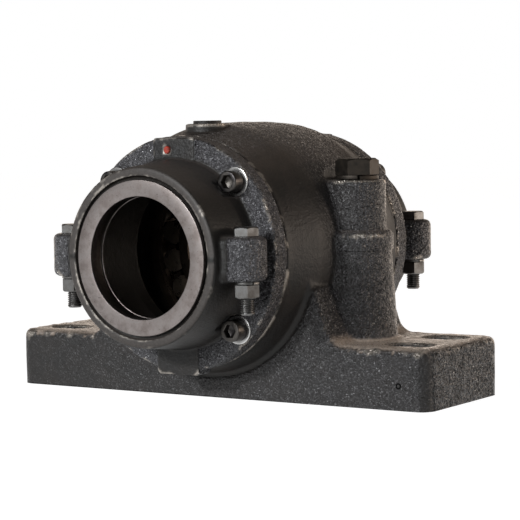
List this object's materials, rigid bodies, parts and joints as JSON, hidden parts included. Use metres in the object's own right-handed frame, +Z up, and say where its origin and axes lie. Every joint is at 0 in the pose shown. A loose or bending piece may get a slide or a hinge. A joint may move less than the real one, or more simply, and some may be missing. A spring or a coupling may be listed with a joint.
{
  "type": "split plummer block",
  "caption": "Split bearing housing on a long slotted base, with bolted split end covers, labyrinth rings and a spherical roller bearing inside.",
  "frame": {"origin": "middle of the base's mounting face, under the middle of the bearing", "axes": "+X along the base, shaft axis along Y with the front cover at -Y, +Z up"},
  "size_m": [0.422, 0.318, 0.2352],
  "materials": {
    "cast_iron_black": "matte dark foundry coat, sand-cast grain",
    "cover_iron": "satin dark foundry coat, rough rim",
    "ring_steel": "turned, bare",
    "plug_red": "matte",
    "bolt_dark": "dark oxide",
    "screw_black": "black oxide",
    "washer_steel": "bare",
    "bolt_steel": "dull grey steel",
    "cage_steel": "pressed steel",
    "bearing_steel": "ground"
  },
  "bodies": {
    "housing": {"bearing_outer_ring": "bearing_steel", "cap_bolt_left": "bolt_dark", "cap_bolt_right": "bolt_dark", "cap_spring_washer_left": "bolt_dark", "cap_spring_washer_right": "bolt_dark", "dowel_pin_left": "bearing_steel", "dowel_pin_right": "bearing_steel", "filler_plug": "bolt_dark", "front_cover_lower": "cover_iron", "front_cover_screw_lower_left": "screw_black", "front_cover_screw_lower_right": "screw_black", "front_cover_screw_upper_left": "screw_black", "front_cover_screw_upper_right": "screw_black", "front_cover_upper": "cover_iron", "front_cover_washer_lower_left": "washer_steel", "front_cover_washer_lower_right": "washer_steel", "front_cover_washer_upper_left": "washer_steel", "front_cover_washer_upper_right": "washer_steel", "front_ear_bolt_left": "bolt_steel", "front_ear_bolt_right": "bolt_steel", "front_ear_nut_left": "bolt_steel", "front_ear_nut_right": "bolt_steel", "front_ear_washer_left": "bolt_steel", "front_ear_washer_right": "bolt_steel", "front_locating_ring": "bearing_steel", "front_port_plug": "plug_red", "housing_base": "cast_iron_black", "housing_cap": "cast_iron_black", "rear_cover_lower": "cover_iron", "rear_cover_screw_lower_left": "screw_black", "rear_cover_screw_lower_right": "screw_black", "rear_cover_screw_upper_left": "screw_black", "rear_cover_screw_upper_right": "screw_black", "rear_cover_upper": "cover_iron", "rear_cover_washer_lower_left": "washer_steel", "rear_cover_washer_lower_right": "washer_steel", "rear_cover_washer_upper_left": "washer_steel", "rear_cover_washer_upper_right": "washer_steel", "rear_ear_bolt_left": "bolt_steel", "rear_ear_bolt_right": "bolt_steel", "rear_ear_nut_left": "bolt_steel", "rear_ear_nut_right": "bolt_steel", "rear_ear_washer_left": "bolt_steel", "rear_ear_washer_right": "bolt_steel", "rear_locating_ring": "bearing_steel", "rear_port_plug": "plug_red"},
    "front_ring": {"front_labyrinth_ring": "ring_steel"},
    "rear_ring": {"rear_labyrinth_ring": "ring_steel"},
    "inner_ring": {"bearing_inner_ring": "bearing_steel"},
    "roller_set": {"bearing_rollers": "bearing_steel", "bearing_cage": "cage_steel"}
  },
  "joints": [
    {"name": "inner_ring_spin", "type": "hinge", "parent": "housing", "child": "inner_ring", "pos_m": [0, 0, 0.125], "axis": [0, 1, 0], "continuous": true},
    {"name": "roller_set_spin", "type": "hinge", "parent": "housing", "child": "roller_set", "pos_m": [0, 0, 0.125], "axis": [0, 1, 0], "continuous": true},
    {"name": "front_ring_spin", "type": "hinge", "parent": "housing", "child": "front_ring", "pos_m": [0, 0, 0.125], "axis": [0, 1, 0], "continuous": true},
    {"name": "rear_ring_spin", "type": "hinge", "parent": "housing", "child": "rear_ring", "pos_m": [0, 0, 0.125], "axis": [0, 1, 0], "continuous": true}
  ],
  "couplings": [
    {"joint": "roller_set_spin", "follows": "inner_ring_spin", "ratio": 0.4226}
  ]
}
